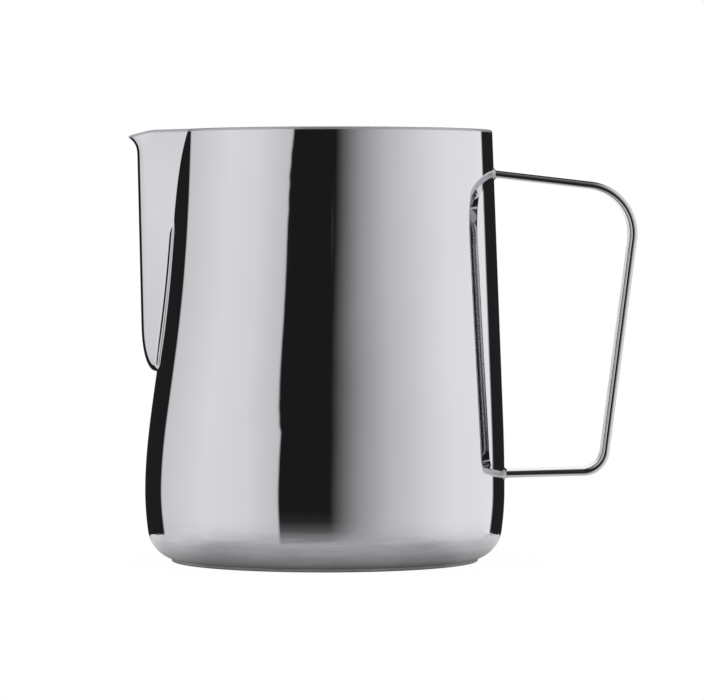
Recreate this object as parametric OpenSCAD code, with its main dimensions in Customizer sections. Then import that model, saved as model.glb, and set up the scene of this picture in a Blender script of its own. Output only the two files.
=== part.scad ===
// Milk frothing pitcher: one deep-drawn steel cup with a pressed spout,
// and one bent flat-strip handle welded to the back of the cup.
// Origin: centre of the round foot on the resting plane. +Z up.
// The spout points along -X and the handle along +X. The XZ plane is the plane of symmetry.

/* [Body] */
// Height of the rim above the resting plane
height = 107.5; // [104:0.5:112]
// Largest radius of the cup, low on its wall
body_r = 44.95; // [42.95:0.1:45.95]
// Height of the largest radius
belly_z = 17.8; // [16.8:0.1:19.8]
// How far the back wall leans in at the rim
back_in = 3.15; // [2.65:0.05:4.15]
// How far the side walls lean in at the rim
side_in = 3.75; // [3.25:0.05:4.75]
// How far the front wall, behind the spout, leans in at the rim
front_in = 7.75; // [7.25:0.05:8.25]
// Sheet thickness
wall = 0.8; // [0.6:0.05:1]

/* [Foot] */
// Radius of the flat foot
foot_r = 38.35; // [37.15:0.05:38.35]
// Height of the step between the foot and the rounded corner
foot_h = 0.9; // [0.7:0.1:1]
// Radius of the rounded corner above the foot
corner_r = 8.2; // [8:0.1:8.4]
// Radius of the shallow hollow in the underside
hollow_r = 32.5; // [28:0.5:35]
// Depth of the shallow hollow in the underside
hollow_h = 0.4; // [0.2:0.1:0.5]

/* [Spout] */
// Height of the lower point of the spout
spout_z = 47.45; // [44.45:0.5:49.45]
// Reach of the spout from the cup's axis, at its lower end
spout_x = 45.88; // [45.48:0.1:46.38]
// Forward lean of the spout's front line, per mm of height
spout_lean = 0.0226; // [0.0176:0.0005:0.0276]
// Radius of the spout's nose seen from above
nose_r = 6.6; // [6:0.1:7]
// Radius of the rolled edges down the sides of the spout
roll_r = 0.95; // [0.85:0.05:1.1]
// Radius of the crease where the spout meets the cup
crease_r = 0.28; // [0.24:0.02:0.4]
// How far the pouring lip curls forward
lip_out = 2.3; // [1.5:0.1:2.5]
// How far the tip of the pouring lip droops below the rim
lip_drop = 1.6; // [1.2:0.1:2]
// Half width of the curled part of the lip
lip_half = 7.5; // [6.5:0.5:8.5]

/* [Handle] */
// Width of the handle strip
strip_w = 12; // [10:0.5:14]
// Thickness of the handle strip
strip_t = 1.8; // [1.7:0.1:2.2]
// Radius on the long edges of the strip
strip_edge = 0.8; // [0.5:0.05:0.8]
// Height at which the upper arm meets the cup
arm_top_z = 96.6; // [95.1:0.5:97.6]
// Fall of the upper arm away from the cup, in degrees
arm_top_deg = 6.69; // [5.69:0.5:7.69]
// Height at which the lower arm meets the cup
arm_low_z = 21.85; // [20.85:0.5:23.85]
// Rise of the lower arm away from the cup, in degrees
arm_low_deg = 1.56; // [0.56:0.5:3.06]
// Distance of the grip from the cup's axis, at half height
grip_x = 73.35; // [69.85:0.5:75.85]
// Lean of the grip towards the cup at its lower end, in degrees
grip_deg = 7.31; // [6.31:0.5:8.31]
// Bend radius of the upper corner, on the strip's middle line
bend_top_r = 12.1; // [10.1:0.5:13.1]
// Bend radius of the lower corner, on the strip's middle line
bend_low_r = 5.75; // [4.75:0.5:7.75]

/* [Welds] */
// Leg length of the weld bead round each end of the handle
weld_leg = 0.8; // [0.7:0.1:1.2]

/* [Hidden] */

steel = [0.74, 0.74, 0.76];
polished = [0.7, 0.7, 0.72];
weld_steel = [0.6, 0.59, 0.58];

function lerp(a, b, share) = a + (b - a) * share;
function clamp01(share) = min(1, max(0, share));
function smooth01(share) = let (c = clamp01(share)) c * c * (3 - 2 * c);

// ---- cup profiles: reach of the wall at height z --------------------------
// Below the belly the cup is round, down to the top of the rounded corner
corner_top = 7.5;
belly_in = 0.72; // how far the wall draws in from the belly to corner_top
function low_r(z) = body_r - belly_in * pow((belly_z - z) / (belly_z - corner_top), 2);

// The rounded corner meets that wall at a tangent. Its angles are measured from straight down.
low_slope = 2 * belly_in / (belly_z - corner_top);
corner_end = 90 - atan(low_slope);
corner_x = low_r(corner_top) - corner_r * sin(corner_end);
corner_z = corner_top + corner_r * cos(corner_end);

// Back and sides start upright at the belly and settle to a straight lean over ease_h
ease_h = 17.5;
function ramp(z) = z < belly_z + ease_h
    ? pow(z - belly_z, 2) / (2 * ease_h)
    : z - belly_z - ease_h / 2;
function leaning(z, lean_in) = z < belly_z
    ? low_r(z)
    : body_r - lean_in * ramp(z) / ramp(height);
function back_x(z) = leaning(z, back_in);
function side_y(z) = leaning(z, side_in);

// The front is upright at first, steepest just below the spout, and eases towards the rim
front_pull = 3.1;   // higher moves the lean lower down
front_start = 1.8;  // exponent at the belly
front_finish = 0.95; // exponent at the rim
function front_share(share) =
    let (pull = front_pull * pow(share, front_start))
    pull / (pull + pow(1 - share, front_finish));
function front_x(z) = z < belly_z
    ? low_r(z)
    : body_r - front_in * front_share((z - belly_z) / (height - belly_z));

// ---- spout profiles -------------------------------------------------------
round_h = 12.55; // height over which the lower end of the spout rounds in
round_x = 3.3;   // how far it rounds in
function round_share(z) = clamp01((spout_z + round_h - z) / round_h);
function spout_share(z) = (z - spout_z) / (height - spout_z);
function tip_x(z) = spout_x + spout_lean * (z - spout_z - round_h)
    - round_x * (1 - sqrt(max(0, 1 - pow(round_share(z), 2.65))));
function tip_r(z) = nose_r * (1 + 0.8 * pow(round_share(z), 5));

// The flanks end in a rolled edge, up to this share of the spout's height
roll_top = 0.642;
roll_deg = 97; // angle the rolled edge turns to
function rolled(share) = smooth01((roll_top - share) * 15) * smooth01(share * 30);

// Angle of the flanks: they open towards the rim, stand widest at about 0.7 of the height,
// draw in a little along the rolled edge and close at the lower point
flank_foot = 37.6;
flank_rim = 41.8;
flank_swell = 7;
flank_tuck = 1.8;
flank_close = 12.5;
flank_close_share = 0.06; // share of the height over which they close
function flank(share) = lerp(flank_foot, flank_rim, share)
    + flank_swell * sin(180 * pow(share, 1.8))
    - flank_tuck * rolled(share)
    - flank_close * max(0, 1 - share / flank_close_share);

// The cheeks beside the spout reach round to cheek_deg. They keep the cup's curve
// at the spout's lower point and are drawn flatter higher up.
cheek_deg = 24.5;
flattest = 0.1;       // share of the curve kept where flattest
flattest_share = 0.7; // share of the spout's height where that is reached
function cheek_keep(share) =
    flattest + (1 - flattest) * pow(max(0, 1 - share / flattest_share), 1.6);

// ---- sections at one height -----------------------------------------------
// The cup's oval: [centre in X, half length, half width]
CENTRE = 0;
LENGTH = 1;
WIDTH = 2;
function oval_at(z, inset) = [
    (back_x(z) - front_x(z)) / 2,
    (back_x(z) + front_x(z)) / 2 - inset,
    side_y(z) - inset
];
// Its point whose outward normal is turned by angle from -X
function oval(cup, angle) =
    let (t = atan2(cup[WIDTH] * sin(angle), cup[LENGTH] * cos(angle)))
    [cup[CENTRE] - cup[LENGTH] * cos(t), cup[WIDTH] * sin(t)];
// The same, with the part next to the spout drawn out flatter
function cheek(cup, keep, angle) = angle > cheek_deg
    ? oval(cup, angle)
    : let (start = oval(cup, cheek_deg)) start + (oval(cup, angle) - start) / keep;

// The spout's section: X of the tip, radii of nose, roll and crease, angles of flank and roll
TIP = 0;
NOSE = 1;
FLANK = 2;
ROLL_DEG = 3;
ROLL = 4;
CREASE = 5;
smallest_roll = 0.12;
function spout_at(z, inset) =
    let (share = spout_share(z), flank_deg = flank(share))
    [
        inset - tip_x(z),
        tip_r(z) - inset,
        flank_deg,
        lerp(flank_deg, roll_deg, rolled(share)),
        max(smallest_roll, roll_r * (1 - 0.5 * pow(round_share(z), 2)) - inset),
        crease_r + inset
    ];
// Nose arc to nose_deg, straight run, then rolled edge to angle
function flank_point(spout, nose_deg, straight, angle) = [
    spout[TIP] + spout[NOSE] * (1 - cos(nose_deg)) + straight * sin(nose_deg)
        + spout[ROLL] * (cos(nose_deg) - cos(angle)),
    spout[NOSE] * sin(nose_deg) + straight * cos(nose_deg)
        + spout[ROLL] * (sin(angle) - sin(nose_deg))
];
// Travel counts the degrees of the nose arc, then travel_per_mm along the straight run.
// Gives [nose angle, straight run, end angle, centre of the crease].
travel_per_mm = 3;
function travel(spout, amount) =
    let (nose_deg = min(amount, spout[FLANK]),
         straight = max(0, amount - spout[FLANK]) / travel_per_mm,
         end_deg = max(spout[ROLL_DEG], nose_deg))
    [nose_deg, straight, end_deg,
     flank_point(spout, nose_deg, straight, end_deg)
        + spout[CREASE] * [-cos(end_deg), sin(end_deg)]];
// Angle of the cheek that a crease of radius r centred at y runs into, by halving
function facing(cup, keep, r, y, low = -28, high = 80, steps = 22) =
    let (mid = (low + high) / 2)
    steps == 0 ? mid
    : cheek(cup, keep, mid)[1] + r * sin(mid) < y
        ? facing(cup, keep, r, y, mid, high, steps - 1)
        : facing(cup, keep, r, y, low, mid, steps - 1);
// Travel at which the crease touches both flank and cheek, by halving
function seam(cup, keep, spout, low, high, steps = 24) =
    let (mid = (low + high) / 2)
    steps == 0 ? mid
    : let (centre = travel(spout, mid)[3],
           angle = facing(cup, keep, spout[CREASE], centre[1]))
      centre[0] < cheek(cup, keep, angle)[0] - spout[CREASE] * cos(angle)
        ? seam(cup, keep, spout, mid, high, steps - 1)
        : seam(cup, keep, spout, low, mid, steps - 1);

// ---- one level of the cup, front to back along +Y -------------------------
n_spout = 15;
n_cheek = 3;
n_cup = 20;
// Cheek from angle start, then the rest of the oval
function cup_run(cup, keep, start) =
    let (cheek_end = max(cheek_deg, start + 0.2))
    [
        for (i = [0 : n_cheek - 1]) cheek(cup, keep, lerp(start, cheek_end, i / n_cheek)),
        for (i = [0 : n_cup]) oval(cup, lerp(cheek_end, 180, i / n_cup))
    ];
// Below the spout, its points are spread over the front of the cup, wider further down
spread_min = 2.6;
spread_max = 14;
spread_h = 22;
function plain_level(z, inset) =
    let (cup = oval_at(z, inset),
         spread = lerp(spread_min, spread_max, pow(clamp01((spout_z - z) / spread_h), 0.7)))
    concat([for (i = [0 : n_spout - 1]) oval(cup, spread * i / n_spout)],
           cup_run(cup, 1, spread));
// Share of the points given to each degree of an arc, and to each mm of the straight run
function arc_weight(r) = 0.35 * r + 2.2;
straight_weight = 20;
function spout_level(z, inset) =
    let (cup = oval_at(z, inset),
         keep = cheek_keep(spout_share(z)),
         spout = spout_at(z, inset),
         end = travel(spout, seam(cup, keep, spout, 0, spout[FLANK] + 90)),
         nose_deg = end[0],
         straight = end[1],
         end_deg = end[2],
         centre = end[3],
         start = facing(cup, keep, spout[CREASE], centre[1]),
         nose_to = arc_weight(spout[NOSE]) * nose_deg,
         straight_to = nose_to + straight_weight * straight,
         roll_to = straight_to + arc_weight(spout[ROLL]) * (end_deg - nose_deg),
         crease_to = roll_to + arc_weight(spout[CREASE]) * (end_deg - start))
    concat(
        [for (i = [0 : n_spout - 1])
            let (at = crease_to * pow(i / n_spout, 1.1))
            at <= nose_to
                ? let (angle = nose_to > 0 ? nose_deg * at / nose_to : 0)
                  flank_point(spout, angle, 0, angle)
            : at <= straight_to
                ? let (share = (at - nose_to) / (straight_to - nose_to))
                  flank_point(spout, nose_deg, straight * share, nose_deg)
            : at <= roll_to
                ? let (share = (at - straight_to) / (roll_to - straight_to))
                  flank_point(spout, nose_deg, straight, lerp(nose_deg, end_deg, share))
            : let (angle = lerp(end_deg, start, (at - roll_to) / (crease_to - roll_to)))
              centre + spout[CREASE] * [cos(angle), -sin(angle)]],
        cup_run(cup, keep, start));

// The lip curls forward and droops near the spout's tip, within lip_h of the rim
lip_h = 6.5;
inner_ease = 0.24; // share of the droop that the inner face loses
function curl(p, z, inset) =
    let (across = p[0] > 0 ? 0 : pow(max(0, 1 - pow(p[1] / lip_half, 2)), 2),
         up = clamp01((z - height + lip_h) / lip_h),
         drop = lip_drop * (1 - inner_ease * inset / wall))
    [p[0] - lip_out * across * pow(up, 2.7), p[1], z - drop * across * pow(up, 1.5)];

// ---- rings ----------------------------------------------------------------
// Half a ring, closed by its mirror image in the XZ plane
function closed(half) = [
    for (p = half) p,
    for (i = [len(half) - 2 : -1 : 1]) [half[i][0], -half[i][1], half[i][2]]
];
// Ring at height z, set in from the outside by inset
function ring(z, inset) =
    let (points = z < spout_z ? plain_level(z, inset) : spout_level(z, inset))
    closed([for (p = points) curl(p, z, inset)]);
// Ring of the rounded corner, on an arc of radius r
function corner_ring(r, angle) =
    let (scaling = (corner_x + r * sin(angle)) / low_r(corner_top),
         z = corner_z - r * cos(angle))
    closed([for (p = plain_level(corner_top, 0)) [p[0] * scaling, p[1] * scaling, z]]);

// Heights of the rings: on the wall, above the spout's lower point, and below the rim
wall_rows = [10.5, 14, 18, 24, 31, 38, 43, 46, 47.4];
spout_rows = [0.03, 0.5, 1.3, 2.6, 4.6, 7.6, 12, 18, 25, 33, 41, 47.5];
spout_rows_span = 53.5; // run from spout_z to the lip that spout_rows is laid out on
lip_rows = [lip_h - 0.2, 4.6, 3, 1.7, 0.8];
rim_edge = 0.28; // bevel on both edges of the rim
row_z = [
    corner_top,
    for (z = wall_rows) min(z, spout_z - 0.02),
    for (d = spout_rows) spout_z + d * (height - lip_h - spout_z) / spout_rows_span,
    for (d = lip_rows) height - d,
    height - rim_edge
];

// The rounded corner starts at the foot outside, and at the floor inside
floor_z = foot_h + wall + 0.1;
inner_r = corner_r - wall;
outer_start = acos((corner_z - foot_h) / corner_r);
inner_start = acos(min(1, (corner_z - floor_z) / inner_r));
n_outer = 5;
n_inner = 4;

// Up the outside, over the rim and down the inside
function sheet_rows() = [
    for (i = [0 : n_outer - 1])
        corner_ring(corner_r, lerp(outer_start, corner_end, i / n_outer)),
    for (z = row_z) ring(z, 0),
    ring(height, rim_edge),
    ring(height, wall - rim_edge),
    for (i = [len(row_z) - 1 : -1 : 0]) ring(row_z[i], wall),
    for (i = [n_inner - 1 : -1 : 0])
        corner_ring(inner_r, lerp(inner_start, corner_end, i / n_inner))
];

module sheet() {
    rows = sheet_rows();
    n = len(rows[0]);
    last = len(rows) - 1;
    under = len(rows) * n; // index of the centre point underneath; the floor's is next
    points = concat([for (row = rows) each row], [[0, 0, foot_h], [0, 0, floor_z]]);
    faces = concat(
        [for (i = [0 : last - 1], j = [0 : n - 1])
            let (a = i * n + j, b = i * n + (j + 1) % n, c = b + n, d = a + n)
            each [[a, b, c], [a, c, d]]],
        [for (j = [0 : n - 1]) [under, (j + 1) % n, j]],
        [for (j = [0 : n - 1]) [last * n + j, last * n + (j + 1) % n, under + 1]]);
    polyhedron(points = points, faces = faces, convexity = 8);
}

// Flat foot with a shallow hollow, so the pitcher stands on a ring
hollow_slope = 1.2; // width of the hollow's sloping edge
foot_bevel = 0.3;
foot_lap = 0.3; // how far the foot reaches up into the sheet

module foot() {
    top = foot_h + foot_lap;
    rotate_extrude($fn = 180)
        polygon([
            [0, hollow_h], [hollow_r, hollow_h], [hollow_r + hollow_slope, 0],
            [foot_r - foot_bevel, 0], [foot_r, foot_bevel], [foot_r, top], [0, top]
        ]);
}

module pitcher_body() {
    color(steel) union() {
        sheet();
        foot();
    }
}

// ---- handle ---------------------------------------------------------------
// Middle line of the strip as [x, z]: two arms, a leaning grip and two bends.
// Arm directions point away from the cup, the grip's points up.
arm_top = [back_x(arm_top_z), arm_top_z];
arm_top_dir = [cos(arm_top_deg), -sin(arm_top_deg)];
arm_low = [back_x(arm_low_z), arm_low_z];
arm_low_dir = [cos(arm_low_deg), sin(arm_low_deg)];
grip = [grip_x, height / 2];
grip_dir = [sin(grip_deg), cos(grip_deg)];

// Where the line through p along p_dir crosses the line through q along q_dir
function meet(p, p_dir, q, q_dir) = p + p_dir * cross(q - p, q_dir) / cross(p_dir, q_dir);
meet_top = meet(arm_top, arm_top_dir, grip, grip_dir);
meet_low = meet(arm_low, arm_low_dir, grip, grip_dir);

// Angle each bend turns through, and how far from the crossing it starts
turn_top = 90 - arm_top_deg + grip_deg;
turn_low = 90 - arm_low_deg - grip_deg;
tangent_top = bend_top_r * tan(turn_top / 2);
tangent_low = bend_low_r * tan(turn_low / 2);
arm_top_end = meet_top - tangent_top * arm_top_dir;
grip_top_end = meet_top - tangent_top * grip_dir;
grip_low_end = meet_low + tangent_low * grip_dir;
arm_low_end = meet_low - tangent_low * arm_low_dir;

// The straight runs reach a little into the bends, and are a hair smaller all round,
// so they join cleanly
lap = 0.05;
tuck = 0.002;
arm_sink = 2.5; // how far the arms start inside the cup's skin, before they are cut

// Cross-section of the strip: thickness along X, width along Y, made smaller all round by less
module strip_section(less = 0) {
    x = strip_t / 2 - strip_edge;
    y = strip_w / 2 - strip_edge;
    r = strip_edge - less;
    union() {
        square([2 * (x + r), 2 * y], center = true);
        square([2 * x, 2 * (y + r)], center = true);
        for (i = [-1, 1], j = [-1, 1]) translate([i * x, j * y]) circle(r = r, $fn = 32);
    }
}

// Moves to p in the XZ plane and turns +Z along dir
module along(p, dir) {
    translate([p[0], 0, p[1]]) rotate([0, atan2(dir[0], dir[1]), 0]) children();
}

// Straight run of strip from p to q
module run(p, q) {
    along(p, q - p) linear_extrude(height = norm(q - p)) strip_section(tuck);
}

// Bend about centre in the XZ plane: starts at start above +X and turns up by turn
module bend(centre, r, start, turn) {
    translate([centre[0], 0, centre[1]])
        rotate([90, 0, 0])
            rotate([0, 0, start])
                rotate_extrude(angle = turn, $fn = 96) translate([r, 0]) strip_section();
}

// Skin of the cup's back wall near height z, as a round bar the ends are cut to
bar_gap = 0.01; // clearance between the skin and the cut ends
bar_h = 24;
lean_span = 8; // height over which the wall's lean is taken

module back_bar(z) {
    lean = atan((back_x(z - lean_span / 2) - back_x(z + lean_span / 2)) / lean_span);
    r = pow(side_y(z), 2) / oval_at(z, 0)[LENGTH];
    translate([back_x(z) - r, 0, z]) rotate([0, -lean, 0])
        cylinder(r = r + bar_gap, h = bar_h, center = true, $fn = 180);
}

module handle_path() {
    union() {
        run(arm_top - arm_sink * arm_top_dir, arm_top_end + lap * arm_top_dir);
        bend(arm_top_end + bend_top_r * [-sin(arm_top_deg), -cos(arm_top_deg)],
             bend_top_r, -grip_deg, turn_top);
        run(grip_low_end - lap * grip_dir, grip_top_end + lap * grip_dir);
        bend(arm_low_end + bend_low_r * [-sin(arm_low_deg), cos(arm_low_deg)],
             bend_low_r, -(turn_low + grip_deg), turn_low);
        run(arm_low - arm_sink * arm_low_dir, arm_low_end + lap * arm_low_dir);
    }
}

module handle() {
    color(polished) difference() {
        handle_path();
        back_bar(arm_top_z);
        back_bar(arm_low_z);
    }
}

// ---- welds ----------------------------------------------------------------
// Slice of a bead: the strip's outline less trim, grown by grow
module weld_slice(z, grow, trim, thick = 0.05) {
    translate([0, 0, z]) linear_extrude(height = thick)
        offset(r = grow, $fn = 24) square([strip_t - trim, strip_w - trim], center = true);
}

// Weld bead round the end of the arm that meets the cup at p
module weld(p, dir) {
    difference() {
        along(p, dir) hull() {
            weld_slice(z = -1.2, grow = weld_leg, trim = 0.6, thick = 0.9);
            weld_slice(z = weld_leg * 0.35, grow = weld_leg * 0.55, trim = 0.4);
            weld_slice(z = weld_leg, grow = 0.3, trim = 0.3);
        }
        handle_path();
        back_bar(p[1]);
    }
}

module upper_weld() {
    color(weld_steel) weld(arm_top, arm_top_dir);
}

module lower_weld() {
    color(weld_steel) weld(arm_low, arm_low_dir);
}

pitcher_body();
handle();
upper_weld();
lower_weld();
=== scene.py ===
# A steel pitcher: a round cup with a drawn-out spout, a bent strip handle and two weld beads.
# It stands on z = 0 about the Z axis, with the spout towards -X and the handle towards +X.
# The camera looks at it from -Y, so +X is on the right. Shapes are worked out in millimetres.
import bmesh, bpy
import numpy as np
from math import acos, atan, atan2, cos, pi, radians, sin, sqrt
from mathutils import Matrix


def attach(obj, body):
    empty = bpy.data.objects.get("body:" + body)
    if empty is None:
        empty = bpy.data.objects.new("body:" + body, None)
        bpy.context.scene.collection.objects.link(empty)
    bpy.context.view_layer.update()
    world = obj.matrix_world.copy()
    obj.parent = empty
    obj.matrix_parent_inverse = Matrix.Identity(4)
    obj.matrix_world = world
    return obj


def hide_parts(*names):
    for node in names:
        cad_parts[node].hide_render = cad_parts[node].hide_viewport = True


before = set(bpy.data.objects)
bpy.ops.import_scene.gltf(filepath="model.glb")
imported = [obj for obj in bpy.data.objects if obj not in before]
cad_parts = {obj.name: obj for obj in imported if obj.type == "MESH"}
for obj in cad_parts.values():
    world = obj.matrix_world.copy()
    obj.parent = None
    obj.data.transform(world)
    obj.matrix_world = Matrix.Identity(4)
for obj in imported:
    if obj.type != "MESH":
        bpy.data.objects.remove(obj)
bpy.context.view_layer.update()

M_PER_MM = 0.001
MM_PER_M = 1000.0

# Cup: the body is widest at BELLY_Z and draws in by the *_IN values at the rim
HEIGHT, BODY_R, BELLY_Z, WALL = 107.5, 44.95, 17.8, 0.8
BACK_IN, SIDE_IN, FRONT_IN = 3.15, 3.75, 7.75
EASE_H = 17.5                       # height over which back and sides ease into their lean
CORNER_TOP, CORNER_R, BELLY_IN = 7.5, 8.2, 0.72     # rounded corner, and draw-in at its top

# Underside and floor
FOOT_R, FOOT_H, FOOT_EDGE = 38.35, 0.9, 0.3
HOLLOW_R, HOLLOW_H, HOLLOW_SLOPE = 32.5, 0.4, 1.2
FLOOR_Z = FOOT_H + WALL + 0.1

# Spout: its lower point is at SPOUT_Z and rounds off over ROUND_H
SPOUT_Z, SPOUT_X, SPOUT_LEAN = 47.45, 45.88, 0.0226
ROUND_H, ROUND_X = 12.55, 3.3
NOSE_R, ROLL_R, ROLL_DEG, CREASE_R = 6.6, 0.95, 97, 0.28
CHEEK_A = radians(24.5)             # where the flatter cheek beside the spout ends

# Pouring lip at the top of the spout
LIP_OUT, LIP_DROP, LIP_HALF, LIP_H = 2.3, 1.6, 7.5, 6.5

# Rim: rounded over the whole wall, ground a little way down the outside
RIM_EDGE = WALL / 2
GROUND_TOP, GROUND_LOW, OUTER_STOP = 0.66, 0.72, 0.75       # depths below HEIGHT

# Points along half a level: spout, cheek, rest of the cup
N_CHAIN, N_CHEEK, N_CUP = 64, 16, 140


def clamp01(s):
    return min(1.0, max(0.0, s))


def smooth01(s):
    s = clamp01(s)
    return s * s * (3 - 2 * s)


def lerp(a, b, s):
    return a + (b - a) * s


def spaced(start, end, count):
    """Even steps from start, leaving the end out."""
    return [start + (end - start) * i / count for i in range(count)]


def bisect(low, high, steps, is_short):
    """Middle of the last of so many halvings towards the point where is_short turns false."""
    for _ in range(steps):
        middle = (low + high) / 2
        if is_short(middle):
            low = middle
        else:
            high = middle
    return middle


# ---------------------------------------------------------------------------
# Cup outline: how far back, sides and front reach at each height
# ---------------------------------------------------------------------------
def low_r(z):
    """Radius of the round part below the belly."""
    return BODY_R - BELLY_IN * ((BELLY_Z - z) / (BELLY_Z - CORNER_TOP)) ** 2


def lean(z):
    if z < BELLY_Z + EASE_H:
        return (z - BELLY_Z) ** 2 / (2 * EASE_H)
    return z - BELLY_Z - EASE_H / 2


def front_share(s):
    """Share of the front lean reached at share s of the height above the belly."""
    rise = 3.1 * s ** 1.8
    return rise / (rise + max(0.0, 1 - s) ** 0.95)


def back_x(z):
    return low_r(z) if z < BELLY_Z else BODY_R - BACK_IN * lean(z) / lean(HEIGHT)


def side_y(z):
    return low_r(z) if z < BELLY_Z else BODY_R - SIDE_IN * lean(z) / lean(HEIGHT)


def front_x(z):
    if z < BELLY_Z:
        return low_r(z)
    return BODY_R - FRONT_IN * front_share((z - BELLY_Z) / (HEIGHT - BELLY_Z))


def mid_x(z):
    return (back_x(z) - front_x(z)) / 2


def half_x(z):
    return (back_x(z) + front_x(z)) / 2


# The rounded corner runs tangent into the curve above it
CORNER_END = radians(90) - atan(2 * BELLY_IN / (BELLY_Z - CORNER_TOP))
CORNER_CX = low_r(CORNER_TOP) - CORNER_R * sin(CORNER_END)
CORNER_CZ = CORNER_TOP + CORNER_R * cos(CORNER_END)


# ---------------------------------------------------------------------------
# Spout rules; share is 0 at the lower point and 1 at the rim
# ---------------------------------------------------------------------------
def up_share(z):
    return clamp01((z - SPOUT_Z) / (HEIGHT - SPOUT_Z))


def low_share(z):
    """1 at the lower point, 0 where its rounding ends."""
    return clamp01((SPOUT_Z + ROUND_H - z) / ROUND_H)


def rolled(share):
    """How far the flank's edge is rolled over."""
    return smooth01((0.642 - share) * 15) * smooth01(share * 30)


def flank_deg(share):
    """Flank angle: opens towards the rim, swells at about 0.7, closes at the lower point."""
    swell = 7 * sin(pi * share ** 1.8)
    closing = 12.5 * max(0.0, 1 - share / 0.06)
    return lerp(37.6, 41.8, share) + swell - 1.8 * rolled(share) - closing


def cheek_keep(share):
    """How far the cheek next to the crease keeps the cup's curve."""
    return 0.1 + 0.9 * max(0.0, 1 - share / 0.7) ** 1.6


def tip_x(z):
    rounding = ROUND_X * (1 - sqrt(max(0, 1 - low_share(z) ** 2.65)))
    return SPOUT_X + SPOUT_LEAN * (z - SPOUT_Z - ROUND_H) - rounding


def tip_r(z):
    return NOSE_R * (1 + 0.8 * low_share(z) ** 5)


# ---------------------------------------------------------------------------
# Levels of the cup
# ---------------------------------------------------------------------------
def oval(z, facing, inset):
    """Point of the cup's oval, set in, whose outward normal is turned by facing from -X."""
    a, b = half_x(z) - inset, side_y(z) - inset
    t = atan2(b * sin(facing), a * cos(facing))
    return mid_x(z) - a * cos(t), b * sin(t)


def cheek(z, facing, keep, inset):
    """The same, with the part in front of CHEEK_A drawn out flatter next to the spout."""
    x, y = oval(z, facing, inset)
    if facing > CHEEK_A:
        return x, y
    end_x, end_y = oval(z, CHEEK_A, inset)
    return end_x + (x - end_x) / keep, end_y + (y - end_y) / keep


def spout_chain(z, inset):
    """Half the spout: nose arc, straight flank, rolled edge, hollow crease.

    Gives its points, the facing at which the cheek begins, and how the cheek keeps its curve.
    """
    share = up_share(z)
    nose_r, tip = tip_r(z) - inset, inset - tip_x(z)
    flank_a = radians(flank_deg(share))
    roll_a = lerp(flank_a, radians(ROLL_DEG), rolled(share))
    roll_r = max(0.12, ROLL_R * (1 - 0.5 * low_share(z) ** 2) - inset)
    crease_r, keep = CREASE_R + inset, cheek_keep(share)

    def on_flank(nose_end, run):
        return (tip + nose_r * (1 - cos(nose_end)) + run * sin(nose_end),
                nose_r * sin(nose_end) + run * cos(nose_end))

    def on_roll(nose_end, run, turn):
        x, y = on_flank(nose_end, run)
        return x + roll_r * (cos(nose_end) - cos(turn)), y + roll_r * (sin(turn) - sin(nose_end))

    def reach(travel):
        """Ends of nose, flank and roll, and the crease centre, after so much travel."""
        nose_end = min(travel, flank_a)
        run = max(0.0, travel - flank_a) * 20
        roll_end = max(roll_a, nose_end)
        x, y = on_roll(nose_end, run, roll_end)
        centre = x - crease_r * cos(roll_end), y + crease_r * sin(roll_end)
        return nose_end, run, roll_end, centre

    def facing_at(crease_y):
        """Facing at which the crease meets the cheek."""
        return bisect(-0.5, 1.4, 36,
                      lambda p: cheek(z, p, keep, inset)[1] + crease_r * sin(p) < crease_y)

    def clear_of_cheek(travel):
        x, y = reach(travel)[3]
        facing = facing_at(y)
        return x < cheek(z, facing, keep, inset)[0] - crease_r * cos(facing)

    travel = bisect(0.0, flank_a + 1.6, 38, clear_of_cheek)
    nose_end, run, roll_end, centre = reach(travel)
    start = facing_at(centre[1])

    # spread the points by length and by how fast the section turns
    def weight(length, turn):
        return 0.35 * length + 2.2 * turn

    parts = [weight(nose_r * nose_end, nose_end),
             weight(run, 0.0),
             weight(roll_r * (roll_end - nose_end), roll_end - nose_end),
             weight(crease_r * (roll_end - start), roll_end - start)]
    total = sum(parts)
    points = []
    for i in range(N_CHAIN):
        rest = total * (i / N_CHAIN) ** 1.15
        part = 0
        while part < 3 and rest > parts[part]:
            rest -= parts[part]
            part += 1
        s = rest / parts[part] if parts[part] > 1e-9 else 0.0
        if part == 0:
            points.append(on_flank(nose_end * s, 0.0))
        elif part == 1:
            points.append(on_flank(nose_end, s * run))
        elif part == 2:
            points.append(on_roll(nose_end, run, lerp(nose_end, roll_end, s)))
        else:
            turn = lerp(roll_end, start, s)
            points.append((centre[0] + crease_r * cos(turn), centre[1] - crease_r * sin(turn)))
    return points, start, keep


def level(z, inset):
    """One half level of the cup on its +Y side, front to back."""
    if z < SPOUT_Z:
        keep = 1.0
        start = radians(lerp(2.6, 14, clamp01((SPOUT_Z - z) / 22) ** 0.7))
        points = [oval(z, start * i / N_CHAIN, inset) for i in range(N_CHAIN)]
    else:
        points, start, keep = spout_chain(z, inset)
    cheek_end = max(CHEEK_A, start + 0.002)
    for i in range(N_CHEEK):
        points.append(cheek(z, lerp(start, cheek_end, i / N_CHEEK), keep, inset))
    for i in range(N_CUP + 1):
        points.append(oval(z, lerp(cheek_end, pi, i / N_CUP), inset))
    return np.array(points)


def mirrored(half):
    return np.vstack([half, (half * [1, -1, 1])[-2:0:-1]])


def ring(z, inset):
    """Whole level, bent outwards and down at the pouring lip."""
    x, y = level(z, inset).T
    near_lip = np.where(x > 0, 0.0, np.maximum(0.0, 1 - (y / LIP_HALF) ** 2) ** 2)
    s = clamp01((z - HEIGHT + LIP_H) / LIP_H)
    drop = LIP_DROP * (1 - 0.24 * inset / WALL)
    return mirrored(np.column_stack([x - LIP_OUT * near_lip * s**2.7, y,
                                     z - drop * near_lip * s**1.5]))


CORNER_LEVEL = level(CORNER_TOP, 0.0)


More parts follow.
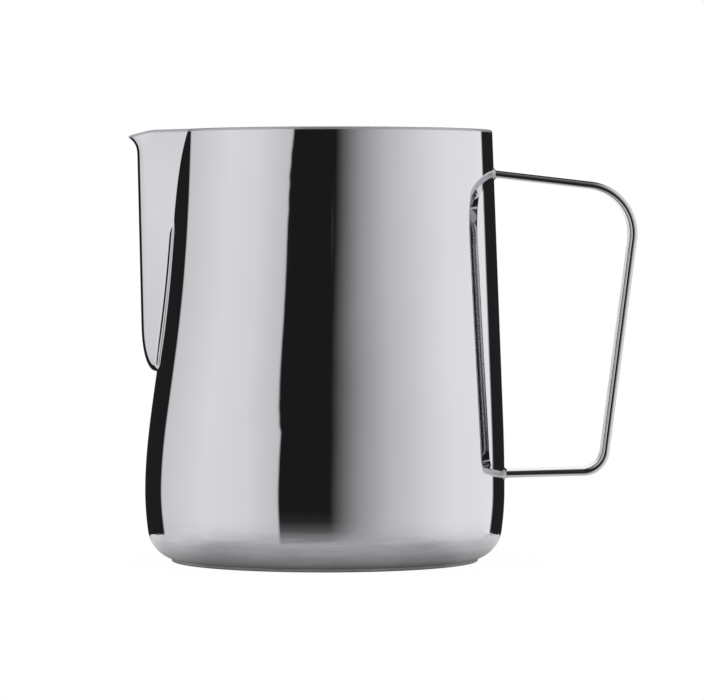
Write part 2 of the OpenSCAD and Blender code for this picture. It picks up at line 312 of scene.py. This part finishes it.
def round_ring(radius, z):
    half = CORNER_LEVEL * (radius / low_r(CORNER_TOP))
    return mirrored(np.column_stack([half, np.full(len(half), z)]))


# ---------------------------------------------------------------------------
# Cup rows, from the centre of the underside over the rim to the centre of the floor.
# Each row is (points, zone of the face band that starts there).
# ---------------------------------------------------------------------------
def wall_heights():
    """Heights of the wall rows, closer together where the shape turns quickly."""
    below, above, lip_z = SPOUT_Z - 0.02, SPOUT_Z + 0.03, HEIGHT - LIP_H
    steps = (0, 0.08, 0.18, 0.3, 0.45, 0.62, 0.82, 1.05, 1.32, 1.62, 1.96)
    return (spaced(CORNER_TOP, 20.0, 22) + spaced(20.0, 44.0, 30)
            + spaced(44.0, below, 12) + [below]
            + [above + step for step in steps]
            + spaced(SPOUT_Z + 2.4, 60.0, 22) + spaced(60.0, lip_z, 56)
            + spaced(lip_z, HEIGHT - 0.28, 34))


def underside_rows():
    """Hollow and standing ring."""
    for radius in (2.0, 6, 10, 14, 18, 22, 26, 30, 32.0, HOLLOW_R):
        yield round_ring(radius, HOLLOW_H)
    for i in range(1, 7):
        s = i / 7
        yield round_ring(HOLLOW_R + HOLLOW_SLOPE * s, HOLLOW_H * (1 - smooth01(s)))
    ring_in = HOLLOW_R + HOLLOW_SLOPE
    yield round_ring(ring_in, 0.0)
    yield round_ring((ring_in + FOOT_R) / 2, 0.0)


def outer_rows(heights):
    """Foot edge, inside corner above it, rounded corner and wall."""
    for i in range(7):
        turn = radians(90 * i / 6)
        yield round_ring(FOOT_R - FOOT_EDGE * (1 - sin(turn)), FOOT_EDGE * (1 - cos(turn)))
    for out, down in ((0.0, 0.22), (0.04, 0.1), (0.14, 0.03)):
        yield round_ring(FOOT_R + out, FOOT_H - down)
    start = acos((CORNER_CZ - FOOT_H) / CORNER_R)
    for turn in spaced(start, CORNER_END, 30):
        yield round_ring(CORNER_CX + CORNER_R * sin(turn), CORNER_CZ - CORNER_R * cos(turn))
    for z in heights:
        if z < HEIGHT - OUTER_STOP:
            yield ring(z, 0.0)
    yield ring(HEIGHT - GROUND_LOW, 0.0)


def rim_rows():
    yield ring(HEIGHT - GROUND_TOP, 0.0)
    turns = [radians(90 * i / 8) for i in range(9)]
    for turn in turns:
        yield ring(HEIGHT - RIM_EDGE + RIM_EDGE * sin(turn), RIM_EDGE * (1 - cos(turn)))
    for turn in turns:
        yield ring(HEIGHT - RIM_EDGE + RIM_EDGE * cos(turn), WALL - RIM_EDGE * (1 - sin(turn)))


def inner_rows(heights):
    """Inside wall, rounded corner and floor."""
    for z in reversed(heights):
        yield ring(z, WALL)
    radius = CORNER_R - WALL
    start = acos((CORNER_CZ - FLOOR_Z) / radius)
    for turn in reversed(spaced(start, CORNER_END, 24)):
        yield round_ring(CORNER_CX + radius * sin(turn), CORNER_CZ - radius * cos(turn))
    floor_r = CORNER_CX + radius * sin(start)
    for r in (floor_r - 1.5, 32, 28, 24, 20, 16, 12, 8, 4, 2):
        yield round_ring(r, FLOOR_Z)


def add_object(name, data):
    ob = bpy.data.objects.new(name, data)
    bpy.context.scene.collection.objects.link(ob)
    return ob


def shell_object():
    """The cup as one closed sheet; material slots follow ZONES."""
    heights = wall_heights()
    zones = (outer_rows(heights), inner_rows(heights), rim_rows(), underside_rows())
    rows, band_slots = [], []
    for slot in (3, 0, 2, 1):       # underside, outside, rim, inside
        for row in zones[slot]:
            rows.append(row)
            band_slots.append(slot)
    n, last = len(rows[0]), len(rows) - 1
    low_centre = (last + 1) * n
    points = np.vstack(rows + [np.array([(0, 0, HOLLOW_H), (0, 0, FLOOR_Z)])]) * M_PER_MM
    j = np.arange(n)
    k = (j + 1) % n
    faces = []
    for i in range(last):
        here, there = i * n, (i + 1) * n
        faces += np.column_stack([there + j, there + k, here + k, here + j]).tolist()
    faces += np.column_stack([j, k, np.full(n, low_centre)]).tolist()
    faces += np.column_stack([np.full(n, low_centre + 1), last * n + k, last * n + j]).tolist()
    mesh = bpy.data.meshes.new("pitcher_shell")
    mesh.from_pydata(points.tolist(), [], faces)
    face_slots = np.repeat(band_slots[:-1] + [band_slots[0], band_slots[-1]], n)
    mesh.polygons.foreach_set("material_index", face_slots.astype(np.int32))
    mesh.polygons.foreach_set("use_smooth", np.ones(len(faces), bool))
    mesh.update()
    mesh.validate()
    return add_object("pitcher_shell", mesh)


# ---------------------------------------------------------------------------
# Node helpers
# ---------------------------------------------------------------------------
class Net:
    """Builds a node tree. Inputs may be given as values or as sockets to link."""

    def __init__(self, tree):
        self.tree = tree
        tree.nodes.clear()

    def set(self, sock, value):
        if isinstance(value, bpy.types.NodeSocket):
            self.tree.links.new(value, sock)
        else:
            sock.default_value = value

    def new(self, kind, inputs=None, **settings):
        node = self.tree.nodes.new(kind)
        for key, value in settings.items():
            setattr(node, key, value)
        for key, value in (inputs or {}).items():
            self.set(node.inputs[key], value)
        return node

    def math(self, op, a, b=0.0, c=None):
        inputs = {0: a, 1: b}
        if c is not None:
            inputs[2] = c
        return self.new("ShaderNodeMath", inputs, operation=op).outputs[0]

    def times(self, a, b):
        return self.math("MULTIPLY", a, b)

    def weighted(self, base, *terms):
        """base plus each (socket, share) term."""
        for sock, share in terms:
            base = self.math("ADD", base, self.times(sock, share))
        return base

    def radius(self, x, y):
        return self.math("SQRT", self.math("ADD", self.times(x, x), self.times(y, y)))

    def remap(self, x, lo, hi, out_lo=0.0, out_hi=1.0, kind="LINEAR"):
        return self.new("ShaderNodeMapRange", {0: x, 1: lo, 2: hi, 3: out_lo, 4: out_hi},
                        interpolation_type=kind).outputs[0]

    def smooth(self, x, lo, hi, out_lo=0.0, out_hi=1.0):
        return self.remap(x, lo, hi, out_lo, out_hi, kind="SMOOTHSTEP")

    def mix_value(self, share, a, b):
        return self.new("ShaderNodeMix", {0: share, 2: a, 3: b}, data_type="FLOAT").outputs[0]

    def mix_color(self, share, a, b):
        return self.new("ShaderNodeMix", {0: share, 6: a, 7: b}, data_type="RGBA").outputs[2]

    def noise(self, vector, scale, detail, rough):
        return self.new("ShaderNodeTexNoise", {
            "Vector": vector, "Scale": scale, "Detail": detail, "Roughness": rough,
        }).outputs["Fac"]

    def ramp(self, share, stops):
        """Stops are (position, grey level or colour)."""
        node = self.new("ShaderNodeValToRGB", {0: share})
        elements = node.color_ramp.elements
        node.color_ramp.interpolation = "LINEAR"
        while len(elements) < len(stops):
            elements.new(0.5)
        for element, (place, tone) in zip(elements, stops):
            element.position = place
            element.color = (tone, tone, tone, 1) if isinstance(tone, (int, float)) else (*tone, 1)
        return node.outputs[0]

    def object_place(self):
        """Object position in metres, whole and split into x, y and z."""
        place = self.new("ShaderNodeTexCoord").outputs["Object"]
        return (place, *self.new("ShaderNodeSeparateXYZ", {0: place}).outputs)

    def stretch(self, *axes):
        """Vector of (socket, factor) pairs, None for 0; a larger factor packs a pattern closer."""
        parts = [self.times(*axis) if axis else 0.0 for axis in axes]
        return self.new("ShaderNodeCombineXYZ", dict(enumerate(parts))).outputs[0]

    def bump(self, height, dist, base=None):
        """Normal bumped by height times dist (in metres), on top of a base normal."""
        inputs = {"Strength": 1.0, "Distance": dist, "Height": height}
        if base is not None:
            inputs["Normal"] = base
        return self.new("ShaderNodeBump", inputs).outputs[0]


def new_material(name):
    material = bpy.data.materials.new(name)
    material.use_nodes = True
    return material, Net(material.node_tree)


# ---------------------------------------------------------------------------
# Studio: broad lights left and right, dark flags behind, a dark gap at the camera
# ---------------------------------------------------------------------------
# (compass direction, light level) of the studio wall: 0 degrees is straight behind the
# pitcher, 90 to its right, 180 at the camera
GAP_AT_CAMERA = [(-180, 0.014), (-149.35, 0.014)]
LEFT_SOFTBOX = [(-149.05, 0.74), (-128, 0.91), (-98, 0.97), (-52.2, 0.77)]
# two flags with a narrow bright strip between them
FLAGS_BEHIND = [(-51.2, 0.016), (-5.5, 0.016), (-4.5, 1.0), (4.5, 1.0), (5.5, 0.018), (43.2, 0.018)]
# the right-hand light falls away softly towards the camera
RIGHT_SOFTBOX = [(44.2, 1.04), (90, 1.01), (110, 0.90), (140, 0.66), (160, 0.38), (178, 0.014)]
BANDS = GAP_AT_CAMERA + LEFT_SOFTBOX + FLAGS_BEHIND + RIGHT_SOFTBOX

WHITE = (1, 1, 1, 1)
CEILING_LEVEL = 0.045               # light from overhead
DIFFUSE_LEVEL = 0.95                # even light that reaches matt surfaces
FLOOR_HALF, FLOOR_DROP = 6.0, 0.00002       # metres
# (share of the way, grey level) of the floor seen in reflections, outwards from the foot: a painted
# glow standing in for the lit floor, with painted contact shade darkest at the foot
NEAR_FLOOR_LIGHT_AND_SHADE = [(0, 0.06), (0.06, 0.13), (0.125, 0.245), (0.25, 0.40), (0.55, 0.517), (1.0, 0.53)]


def studio_group():
    """Light level of the studio in a direction, and whether that direction is behind."""
    group = bpy.data.node_groups.new("studio_light", "ShaderNodeTree")
    group.interface.new_socket("Direction", in_out="INPUT", socket_type="NodeSocketVector")
    for name in ("Radiance", "Behind"):
        group.interface.new_socket(name, in_out="OUTPUT", socket_type="NodeSocketFloat")
    net = Net(group)
    direction = net.new("NodeGroupInput").outputs[0]
    x, y, z = net.new("ShaderNodeSeparateXYZ", {0: direction}).outputs
    compass = net.times(net.math("ARCTAN2", x, y), 180 / pi)
    height = net.times(net.math("ARCSINE", z), 180 / pi)
    aside = net.math("ABSOLUTE", compass)

    def bow(rise, fall, degrees, offset):
        swell = net.times(net.smooth(height, **rise), net.smooth(height, **fall, out_lo=1.0))
        return net.math("MULTIPLY_ADD", swell, degrees, offset)

    # the edges of the gap at the camera bow sideways by a few degrees just above the horizon
    bow_left = bow(rise=dict(lo=3.2, hi=5.5), fall=dict(lo=5.5, hi=6.6, out_hi=0.0),
                   degrees=4.5, offset=-1.0)
    bow_right = bow(rise=dict(lo=1.9, hi=4.0), fall=dict(lo=4.3, hi=7.2, out_hi=0.6),
                    degrees=2.7, offset=-1.6)
    shift = net.mix_value(net.math("GREATER_THAN", compass, 0.0), bow_left, bow_right)
    shift = net.times(shift, net.smooth(aside, lo=105.0, hi=125.0))
    turned = net.math("WRAP", net.math("SUBTRACT", compass, shift), 180.0, -180.0)
    around = net.math("DIVIDE", net.math("ADD", turned, 180.0), 360.0)
    band = net.ramp(around, [((degrees + 180) / 360, tone) for degrees, tone in BANDS])
    below_top = net.smooth(height, lo=52.0, hi=76.0, out_lo=1.0, out_hi=0.0)
    net.new("NodeGroupOutput", {
        0: net.mix_value(below_top, CEILING_LEVEL, band),
        1: net.smooth(aside, lo=53.0, hi=50.0),
    })
    return group


STUDIO = studio_group()


def build_world():
    """Studio light in reflections, an even level for matt surfaces, white to the camera."""
    world = bpy.data.worlds.new("studio")
    bpy.context.scene.world = world
    world.use_nodes = True
    net = Net(world.node_tree)
    direction = net.new("ShaderNodeTexCoord").outputs["Generated"]
    studio = net.new("ShaderNodeGroup", {0: direction}, node_tree=STUDIO)
    ray = net.new("ShaderNodeLightPath").outputs
    unseen = net.mix_value(ray["Is Diffuse Ray"], studio.outputs[0], DIFFUSE_LEVEL)
    strength = net.mix_value(ray["Is Camera Ray"], unseen, 1.0)
    light = net.new("ShaderNodeBackground", {"Color": WHITE, "Strength": strength})
    net.new("ShaderNodeOutputWorld", {0: light.outputs[0]})


def floor_material():
    """White with a faint painted contact shade to the camera; in reflections a painted grey glow,
    with painted contact shade darkest near the foot.
    """
    material, net = new_material("studio_floor")
    geometry = net.new("ShaderNodeNewGeometry").outputs
    x, y, _ = net.new("ShaderNodeSeparateXYZ", {0: geometry["Position"]}).outputs
    radius = net.times(net.radius(x, y), MM_PER_M)
    # painted contact shade: in reflections the floor glows darkest at the foot and lighter outwards
    near = net.ramp(net.remap(radius, lo=36.0, hi=76.0), NEAR_FLOOR_LIGHT_AND_SHADE)
    # the strips of floor left and right of the foot catch more of the side lights
    aside = net.math("DIVIDE", net.times(net.math("ABSOLUTE", x), MM_PER_M), radius)
    near = net.times(near, net.smooth(aside, lo=0.70, hi=0.95, out_lo=1.0, out_hi=1.45))
    direction = net.new("ShaderNodeVectorMath", {0: geometry["Incoming"], 3: -1.0},
                        operation="SCALE").outputs[0]
    studio = net.new("ShaderNodeGroup", {0: direction}, node_tree=STUDIO).outputs
    # the near floor gives way to the studio: softly at the sides, sharply behind
    soft = net.weighted(net.times(net.smooth(radius, lo=57.0, hi=84.0), 0.8),
                        (net.smooth(radius, lo=74.0, hi=108.0), 0.17),
                        (net.smooth(radius, lo=90.0, hi=160.0), 0.03))
    hard = net.smooth(radius, lo=76.0, hi=78.0)
    reflected = net.mix_value(net.mix_value(studio[1], soft, hard), near, studio[0])
    ray = net.new("ShaderNodeLightPath").outputs
    contact = net.new("ShaderNodeAmbientOcclusion", {"Distance": 0.03}, samples=12)
    shade = net.remap(contact.outputs["AO"], lo=0.0, hi=1.0, out_lo=0.985, out_hi=1.0)
    tone = net.mix_value(ray["Is Camera Ray"], reflected, shade)
    glow = net.new("ShaderNodeEmission", {"Color": WHITE, "Strength": tone})
    # seen from below the floor is clear, so the underside can be looked at
    below = net.times(geometry["Backfacing"], ray["Is Camera Ray"])
    passed = net.math("GREATER_THAN", ray["Transparent Depth"], 0.5)
    below = net.math("MAXIMUM", below, passed)
    clear = net.new("ShaderNodeBsdfTransparent")
    mix = net.new("ShaderNodeMixShader", {0: below, 1: glow.outputs[0], 2: clear.outputs[0]})
    net.new("ShaderNodeOutputMaterial", {0: mix.outputs[0]})
    return material


def build_floor():
    mesh = bpy.data.meshes.new("floor")
    s = FLOOR_HALF
    mesh.from_pydata([(-s, -s, 0), (s, -s, 0), (s, s, 0), (-s, s, 0)], [], [(0, 1, 2, 3)])
    floor = add_object("floor", mesh)
    floor.location.z = -FLOOR_DROP
    mesh.materials.append(floor_material())


# ---------------------------------------------------------------------------
# Steel finishes
# ---------------------------------------------------------------------------
STEEL = (0.700, 0.696, 0.733, 1)
STEEL_DARK = (0.665, 0.662, 0.687, 1)
STREAK_DARK, STREAK_LIGHT = (0.575, 0.572, 0.602, 1), (0.765, 0.760, 0.800, 1)
SATIN_DARK, SATIN_LIGHT = (0.60, 0.597, 0.61, 1), (0.72, 0.717, 0.735, 1)
FOOT_DARK, FOOT_LIGHT = (0.52, 0.517, 0.53, 1), (0.68, 0.677, 0.69, 1)
GREY_STEEL, SCUFF = (0.62, 0.617, 0.632, 1), (0.42, 0.41, 0.41, 1)
RIM_MATT, FOOT_MATT = (0.36, 0.357, 0.372, 1), (0.5, 0.497, 0.51, 1)
# (noise level, colour) of the heat tint on the welds
WELD_TINT = [(0.30, (0.50, 0.49, 0.50)), (0.5, (0.56, 0.53, 0.49)),
             (0.62, (0.50, 0.50, 0.54)), (0.8, (0.60, 0.59, 0.60))]


def finish(net, color, rough, normal, matt=0.0, matt_color=None):
    """Steel; matt is the share of a fine-ground surface that scatters light every way."""
    surface = net.new("ShaderNodeBsdfPrincipled", {
        "Metallic": 1.0, "Base Color": color, "Roughness": rough, "Normal": normal})
    if matt:
        diffuse = net.new("ShaderNodeBsdfDiffuse", {"Color": matt_color, "Normal": normal})
        surface = net.new("ShaderNodeMixShader",
                          {0: matt, 1: surface.outputs[0], 2: diffuse.outputs[0]})
    net.new("ShaderNodeOutputMaterial", {0: surface.outputs[0]})


def mirror_material():
    """Mirror-polished outside of the cup."""
    material, net = new_material("steel_mirror")
    place, x, y, z = net.object_place()
    angle = net.math("ARCTAN2", y, x)
    drift = net.noise(place, scale=28.0, detail=3.0, rough=0.5)
    turned = net.noise(net.stretch((angle, 0.6), None, (z, 60.0)),
                       scale=60.0, detail=4.0, rough=0.6)
    drawn = net.noise(net.stretch((angle, 260.0), None, (z, 9.0)),      # upright draw lines
                      scale=1.0, detail=3.0, rough=0.6)
    smudge = net.smooth(net.noise(place, scale=55.0, detail=5.0, rough=0.62), lo=0.52, hi=0.80)
    color = net.mix_color(net.remap(drift, lo=0.3, hi=0.7), STEEL, STEEL_DARK)
    color = net.mix_color(0.5, color, STEEL)
    # soft wavy streaks over the spun corner
    streak = net.noise(net.stretch((angle, 2.6), None, (z, 300.0)),
                       scale=1.7, detail=5.0, rough=0.62)
    streak_share = net.times(net.smooth(z, lo=0.013, hi=0.007), 0.55)
    streak_color = net.mix_color(net.remap(streak, lo=0.32, hi=0.68), STREAK_DARK, STREAK_LIGHT)
    color = net.mix_color(streak_share, color, streak_color)
    rough = net.weighted(0.012, (smudge, 0.022), (turned, 0.006))
    # slight ripple where the sheet was spun over the corner
    corner = net.smooth(z, lo=0.0095, hi=0.0045)
    ripple = net.noise(net.stretch((angle, 2.4), None, (z, 420.0)),
                       scale=1.6, detail=3.0, rough=0.6)
    normal = net.bump(net.times(ripple, corner), dist=0.00012)
    normal = net.bump(drift, dist=0.00004, base=normal)
    normal = net.bump(drawn, dist=0.0000004, base=normal)
    finish(net, color, rough, normal)
    return material


def satin_material():
    """Satin, turned inside."""
    material, net = new_material("steel_satin_inside")
    place, x, y, z = net.object_place()
    angle, radius = net.math("ARCTAN2", y, x), net.radius(x, y)
    lines = net.noise(net.stretch((angle, 1.5), (radius, 900.0), (z, 900.0)),
                      scale=2.4, detail=4.0, rough=0.65)
    broad = net.noise(place, scale=22.0, detail=3.0, rough=0.5)
    color = net.mix_color(lines, SATIN_DARK, SATIN_LIGHT)
    rough = net.weighted(0.25, (broad, 0.10), (lines, 0.05))
    finish(net, color, rough, net.bump(lines, dist=0.00002), matt=0.6, matt_color=GREY_STEEL)
    return material


def rim_material():
    """Ground rim."""
    material, net = new_material("steel_rim")
    _, x, y, z = net.object_place()
    angle = net.math("ARCTAN2", y, x)
    grit = net.noise(net.stretch((angle, 90.0), None, (z, 3000.0)),
                     scale=1.0, detail=3.0, rough=0.6)
    color = net.mix_color(grit, GREY_STEEL, STEEL)
    rough = net.remap(grit, lo=0.3, hi=0.7, out_lo=0.22, out_hi=0.36)
    finish(net, color, rough, net.bump(grit, dist=0.00001), matt=0.6, matt_color=RIM_MATT)
    return material


def foot_material():
    """Turned and scuffed underside."""
    material, net = new_material("steel_turned_foot")
    place, x, y, _ = net.object_place()
    angle, radius = net.math("ARCTAN2", y, x), net.radius(x, y)
    lines = net.noise(net.stretch((radius, 5200.0), (angle, 0.4), None),
                      scale=1.0, detail=3.0, rough=0.6)
    scuff = net.smooth(net.noise(place, scale=240.0, detail=5.0, rough=0.7), lo=0.5, hi=0.75)
    color = net.mix_color(lines, FOOT_DARK, FOOT_LIGHT)
    color = net.mix_color(net.times(scuff, 0.5), color, SCUFF)
    rough = net.remap(lines, lo=0.3, hi=0.7, out_lo=0.2, out_hi=0.36)
    finish(net, color, rough, net.bump(lines, dist=0.00004), matt=0.3, matt_color=FOOT_MATT)
    return material


def handle_material():
    """Brushed along the strip, with rubbed patches."""
    material, net = new_material("steel_handle")
    place, x, y, z = net.object_place()
    brushed = net.noise(net.stretch((x, 40.0), (y, 2600.0), (z, 40.0)),
                        scale=1.0, detail=3.0, rough=0.6)
    drift = net.noise(place, scale=90.0, detail=4.0, rough=0.55)
    rub = net.smooth(net.noise(place, scale=160.0, detail=5.0, rough=0.65), lo=0.5, hi=0.8)
    rough = net.weighted(0.10, (rub, 0.05), (brushed, 0.03))
    normal = net.bump(drift, dist=0.00001, base=net.bump(brushed, dist=0.000002))
    finish(net, net.mix_color(drift, STEEL, STEEL_DARK), rough, normal)
    return material


def weld_material():
    material, net = new_material("steel_weld")
    place = net.new("ShaderNodeTexCoord").outputs["Object"]
    scale = net.noise(place, scale=900.0, detail=4.0, rough=0.6)
    ripple = net.noise(place, scale=1700.0, detail=3.0, rough=0.55)
    rough = net.remap(scale, lo=0.3, hi=0.7, out_lo=0.16, out_hi=0.34)
    finish(net, net.ramp(scale, WELD_TINT), rough, net.bump(ripple, dist=0.00004))
    return material


def register(ob, materials, part):
    for material in materials:
        ob.data.materials.append(material)
    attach(ob, "root")
    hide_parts(part)


# ---------------------------------------------------------------------------
# Handle strip: a rounded rectangle swept along two arms, two bends and the grip.
# Its path lies in the XZ plane; 2D points are (x, z).
# ---------------------------------------------------------------------------
STRIP_W, STRIP_T, STRIP_EDGE = 12.0, 1.8, 0.8
ARM_TOP_Z, ARM_LOW_Z = 96.6, 21.85
ARM_TOP_A, ARM_LOW_A, GRIP_A = 6.69, 1.56, 7.31     # slopes in degrees
GRIP_X, BEND_TOP_R, BEND_LOW_R = 73.35, 12.1, 5.75
ARM_SINK = 0.45                     # how far the arms reach into the cup's wall


def pair(a, b):
    return np.array([a, b], float)


def cross(a, b):
    return a[0] * b[1] - a[1] * b[0]


def meet(p, p_dir, q, q_dir):
    """Where two lines meet."""
    return p + p_dir * cross(q - p, q_dir) / cross(p_dir, q_dir)


# where each arm leaves the cup, and its direction away from the cup
TOP_ROOT = pair(back_x(ARM_TOP_Z), ARM_TOP_Z)
TOP_DIR = pair(cos(radians(ARM_TOP_A)), -sin(radians(ARM_TOP_A)))
LOW_ROOT = pair(back_x(ARM_LOW_Z), ARM_LOW_Z)
LOW_DIR = pair(cos(radians(ARM_LOW_A)), sin(radians(ARM_LOW_A)))


def handle_path():
    """Points and directions of the strip's centre line, from the upper arm to the lower."""
    points, directions = [], []

    def straight(start, end, count):
        direction = (end - start) / np.linalg.norm(end - start)
        for i in range(count):
            points.append(start + (end - start) * i / count)
            directions.append(direction)

    def arc(centre, radius, start, end, count):
        for degrees in spaced(start, end, count):
            a = radians(degrees)
            points.append(centre + radius * pair(cos(a), sin(a)))
            directions.append(pair(sin(a), -cos(a)))

    grip_mid = pair(GRIP_X, HEIGHT / 2)
    grip_dir = pair(sin(radians(GRIP_A)), cos(radians(GRIP_A)))
    top_knee = meet(TOP_ROOT, TOP_DIR, grip_mid, grip_dir)
    low_knee = meet(LOW_ROOT, LOW_DIR, grip_mid, grip_dir)
    top_cut = BEND_TOP_R * np.tan(radians((90 - ARM_TOP_A + GRIP_A) / 2))
    low_cut = BEND_LOW_R * np.tan(radians((90 - ARM_LOW_A - GRIP_A) / 2))
    top_arm_end = top_knee - top_cut * TOP_DIR
    low_arm_end = low_knee - low_cut * LOW_DIR
    top_centre = top_arm_end + BEND_TOP_R * pair(TOP_DIR[1], -TOP_DIR[0])
    low_centre = low_arm_end + BEND_LOW_R * pair(-LOW_DIR[1], LOW_DIR[0])
    low_start = LOW_ROOT - ARM_SINK * LOW_DIR

    straight(TOP_ROOT - ARM_SINK * TOP_DIR, top_arm_end, 40)
    arc(top_centre, BEND_TOP_R, 90 - ARM_TOP_A, -GRIP_A, 64)
    straight(top_knee - top_cut * grip_dir, low_knee + low_cut * grip_dir, 60)
    arc(low_centre, BEND_LOW_R, -GRIP_A, -(90 - ARM_LOW_A), 48)
    straight(low_arm_end, low_start, 40)
    points.append(low_start)
    directions.append(-LOW_DIR)
    return points, directions


def strip_outline(arc_n, flat_t, flat_w):
    """Strip section as (across thickness, along width), anticlockwise, flats evenly split."""
    t, w = STRIP_T / 2 - STRIP_EDGE, STRIP_W / 2 - STRIP_EDGE
    corners = [(t, w, 0), (-t, w, 90), (-t, -w, 180), (t, -w, 270)]

    def on_corner(corner, degrees):
        a = radians(degrees)
        return corner[0] + STRIP_EDGE * cos(a), corner[1] + STRIP_EDGE * sin(a)

    points = []
    for q, corner in enumerate(corners):
        for i in range(arc_n + 1):
            points.append(on_corner(corner, corner[2] + 90 * i / arc_n))
        following = corners[(q + 1) % 4]
        end, start = points[-1], on_corner(following, following[2])
        steps = flat_t if q in (0, 2) else flat_w
        for i in range(1, steps):
            points.append((lerp(end[0], start[0], i / steps), lerp(end[1], start[1], i / steps)))
    return np.array(points)


def tube_object(name, rows, closed):
    """Smooth tube through rows of points in mm: joined end to end, or with two flat caps."""
    count, n = len(rows), len(rows[0])
    faces = []
    for i in range(count if closed else count - 1):
        here, there = i * n, (i + 1) % count * n
        for j in range(n):
            k = (j + 1) % n
            faces.append((here + j, here + k, there + k, there + j))
    if not closed:
        faces.append(tuple(range(n))[::-1])
        faces.append(tuple((count - 1) * n + j for j in range(n)))
    mesh = bpy.data.meshes.new(name)
    mesh.from_pydata((np.vstack(rows) * M_PER_MM).tolist(), [], faces)
    bm = bmesh.new()
    bm.from_mesh(mesh)
    bmesh.ops.recalc_face_normals(bm, faces=bm.faces)
    bm.to_mesh(mesh)
    bm.free()
    mesh.polygons.foreach_set("use_smooth", np.ones(len(faces), bool))
    if not closed:
        mesh.polygons[-1].use_smooth = mesh.polygons[-2].use_smooth = False
    return add_object(name, mesh)


def handle_object():
    across, along = strip_outline(arc_n=14, flat_t=2, flat_w=12).T
    rows = []
    for point, direction in zip(*handle_path()):
        rows.append(np.column_stack([point[0] - direction[1] * across, along,
                                     point[1] + direction[0] * across]))
    return tube_object("handle_strip", rows, closed=False)


# ---------------------------------------------------------------------------
# Weld beads: a hollow fillet run all round each end of the strip
# ---------------------------------------------------------------------------
BEAD_LEG, BEAD_STEPS = 0.8, 12
BEAD_WAVES = ((3, 0.05), (7, 0.045), (15, 0.03), (31, 0.03))    # waves per round, height share
SKIN_SINK, STRIP_SINK = 0.12, 0.03      # how far the bead's edges sink into cup and strip
# (outwards from the strip, outwards from the cup) of the rows hidden in strip and sheet
HIDDEN_ROWS = ((-0.35, 0.5), (-0.35, -0.25))


def wall_x(y, z):
    """Outer skin of the cup's back at (y, z)."""
    return mid_x(z) + half_x(z) * sqrt(max(0.0, 1 - (y / side_y(z)) ** 2))


def weld_bead(name, root, direction, seed):
    rng = np.random.default_rng(seed)
    base = strip_outline(arc_n=8, flat_t=3, flat_w=26)
    n = len(base)
    following = np.roll(base, -1, 0)
    tangent = following - np.roll(base, 1, 0)
    outward = np.column_stack([tangent[:, 1], -tangent[:, 0]])
    outward /= np.linalg.norm(outward, axis=1)[:, None]
    # bead size varies softly along the run, with the small ripples a hand-run bead has
    run = np.cumsum(np.linalg.norm(following - base, axis=1))
    run = run / run[-1] * 2 * pi
    size = np.ones(n)
    for waves, share in BEAD_WAVES:
        size += share * np.sin(waves * run + rng.uniform(0, 6.28))

    def bead_point(i, out, lift):
        """Point at out from the strip's outline and lift from the cup's skin along the arm."""
        t, y = base[i] + outward[i] * out
        x, z = root[0] - direction[1] * t, root[1] + direction[0] * t
        along = (wall_x(y, z) - x) / direction[0] + lift
        return x + direction[0] * along, y, z + direction[1] * along

    rows = []
    for step in range(BEAD_STEPS + 1):      # from the cup's skin to the strip
        turn = pi / 2 * step / BEAD_STEPS
        out_sink = STRIP_SINK if step == BEAD_STEPS else 0.0
        lift_sink = SKIN_SINK if step == 0 else 0.0
        rows.append([bead_point(i, BEAD_LEG * size[i] * (1 - sin(turn)) - out_sink,
                                BEAD_LEG * size[i] * (1 - cos(turn)) - lift_sink)
                     for i in range(n)])
    for out, lift in HIDDEN_ROWS:
        rows.append([bead_point(i, out, lift) for i in range(n)])
    return tube_object(name, rows, closed=True)


# ---------------------------------------------------------------------------
# Camera
# ---------------------------------------------------------------------------
CAMERA_AT = (0.00679, -1.040, 0.082)    # metres
CAMERA_DOWN = 1.616                     # degrees below level
SENSOR_W, FOCAL = 36.0, 212.727273      # mm


def build_camera():
    data = bpy.data.cameras.new("camera")
    camera = add_object("camera", data)
    data.sensor_width, data.lens = SENSOR_W, FOCAL
    data.clip_start, data.clip_end = 0.05, 50.0
    camera.location = CAMERA_AT
    camera.rotation_euler = (radians(90 - CAMERA_DOWN), 0, 0)
    scene = bpy.context.scene
    scene.camera = camera
    scene.view_settings.view_transform = "Standard"
    scene.view_settings.look = "None"


build_world()
build_floor()

# slot order matches the zones in shell_object
cup_steels = [mirror_material(), satin_material(), rim_material(), foot_material()]
register(shell_object(), cup_steels, "pitcher_body")
register(handle_object(), [handle_material()], "handle")
weld_steel = weld_material()
for place, root, direction, seed in (("upper", TOP_ROOT, TOP_DIR, 11),
                                     ("lower", LOW_ROOT, LOW_DIR, 23)):
    bead = weld_bead(place + "_weld_bead", root, direction, seed)
    register(bead, [weld_steel], place + "_weld")

build_camera()
